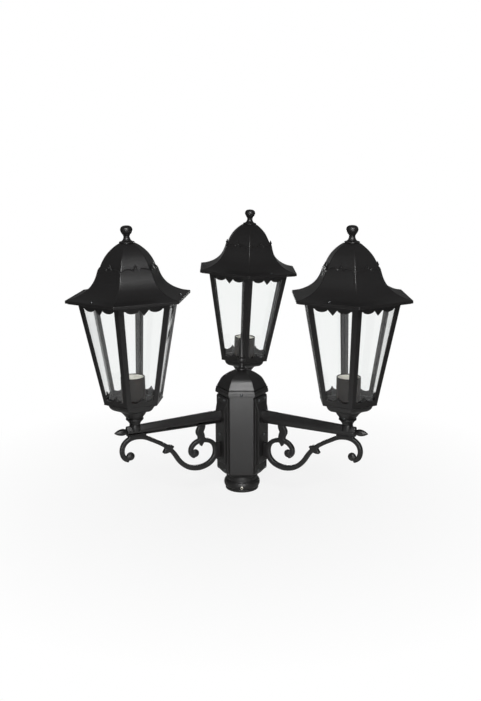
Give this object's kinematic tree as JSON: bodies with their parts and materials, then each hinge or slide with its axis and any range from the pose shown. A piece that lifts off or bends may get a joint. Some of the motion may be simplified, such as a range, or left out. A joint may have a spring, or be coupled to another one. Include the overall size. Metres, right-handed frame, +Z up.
{
  "type": "three-arm lamp post head",
  "caption": "Post-top head with six-sided glazed lanterns on scrolled arms round a hexagonal hub, for a garden lamp post.",
  "frame": {"origin": "middle of the collar's lower rim, on the post's axis, where the post goes in", "axes": "+Z up along the post; one arm points to +Y, the other two point forward at 210 and 330 degrees in plan, to -X and +X; the front, as pictured, faces -Y"},
  "size_m": [0.5499, 0.5209, 0.4849],
  "materials": {
    "black_powder_coat": "cast aluminium under a fine-textured satin black powder coat",
    "clear_glass": "clear float glass",
    "brown_plastic": "dark brown moulded phenolic",
    "white_ceramic": "glazed white ceramic",
    "brass": "bright brass",
    "zinc_plated_steel": "zinc-plated steel",
    "terminal_plastic": "moulded white polyamide"
  },
  "bodies": {
    "hub": {"post_collar": "black_powder_coat", "post_set_screws": "brass", "hub_column": "black_powder_coat", "hub_cap": "black_powder_coat", "cap_screws": "zinc_plated_steel", "spire_finial": "black_powder_coat", "terminal_block": "terminal_plastic", "arm_plate_left": "black_powder_coat", "plate_screws_left": "zinc_plated_steel", "arm_left": "black_powder_coat", "arm_bud_left": "black_powder_coat", "arm_scroll_left": "black_powder_coat", "lantern_nipple_left": "zinc_plated_steel", "arm_plate_right": "black_powder_coat", "plate_screws_right": "zinc_plated_steel", "arm_right": "black_powder_coat", "arm_bud_right": "black_powder_coat", "arm_scroll_right": "black_powder_coat", "lantern_nipple_right": "zinc_plated_steel", "arm_plate_back": "black_powder_coat", "plate_screws_back": "zinc_plated_steel", "arm_back": "black_powder_coat", "arm_bud_back": "black_powder_coat", "arm_scroll_back": "black_powder_coat", "lantern_nipple_back": "zinc_plated_steel"},
    "lantern_left": {"pan_left": "black_powder_coat", "grub_screw_left": "zinc_plated_steel", "cage_left": "black_powder_coat", "panes_left": "clear_glass", "pane_clips_left": "zinc_plated_steel", "lampholder_sleeve_left": "brown_plastic", "lampholder_core_left": "white_ceramic", "lampholder_contacts_left": "brass"},
    "roof_left_lid": {"roof_left": "black_powder_coat", "roof_screws_left": "zinc_plated_steel", "roof_finial_left": "black_powder_coat"},
    "lantern_right": {"pan_right": "black_powder_coat", "grub_screw_right": "zinc_plated_steel", "cage_right": "black_powder_coat", "panes_right": "clear_glass", "pane_clips_right": "zinc_plated_steel", "lampholder_sleeve_right": "brown_plastic", "lampholder_core_right": "white_ceramic", "lampholder_contacts_right": "brass"},
    "roof_right_lid": {"roof_right": "black_powder_coat", "roof_screws_right": "zinc_plated_steel", "roof_finial_right": "black_powder_coat"},
    "lantern_back": {"pan_back": "black_powder_coat", "grub_screw_back": "zinc_plated_steel", "cage_back": "black_powder_coat", "panes_back": "clear_glass", "pane_clips_back": "zinc_plated_steel", "lampholder_sleeve_back": "brown_plastic", "lampholder_core_back": "white_ceramic", "lampholder_contacts_back": "brass"},
    "roof_back_lid": {"roof_back": "black_powder_coat", "roof_screws_back": "zinc_plated_steel", "roof_finial_back": "black_powder_coat"}
  },
  "joints": [
    {"name": "lantern_swivel_left", "type": "hinge", "parent": "hub", "child": "lantern_left", "pos_m": [-0.1784, -0.103, 0.15235], "axis": [-0.014, 0, 0.9999], "range_deg": [-30, 30]},
    {"name": "roof_lift_left", "type": "slide", "parent": "lantern_left", "child": "roof_left_lid", "axis": [-0.014, 0, 0.9999], "range_m": [0, 0.15]},
    {"name": "lantern_swivel_right", "type": "hinge", "parent": "hub", "child": "lantern_right", "pos_m": [0.1784, -0.103, 0.15235], "axis": [0, 0, 1], "range_deg": [-30, 30]},
    {"name": "roof_lift_right", "type": "slide", "parent": "lantern_right", "child": "roof_right_lid", "axis": [0, 0, 1], "range_m": [0, 0.15]},
    {"name": "lantern_swivel_back", "type": "hinge", "parent": "hub", "child": "lantern_back", "pos_m": [0, 0.206, 0.15235], "axis": [0.0436, 0, 0.999], "range_deg": [-30, 30]},
    {"name": "roof_lift_back", "type": "slide", "parent": "lantern_back", "child": "roof_back_lid", "axis": [0.0436, 0, 0.999], "range_m": [0, 0.15]}
  ]
}
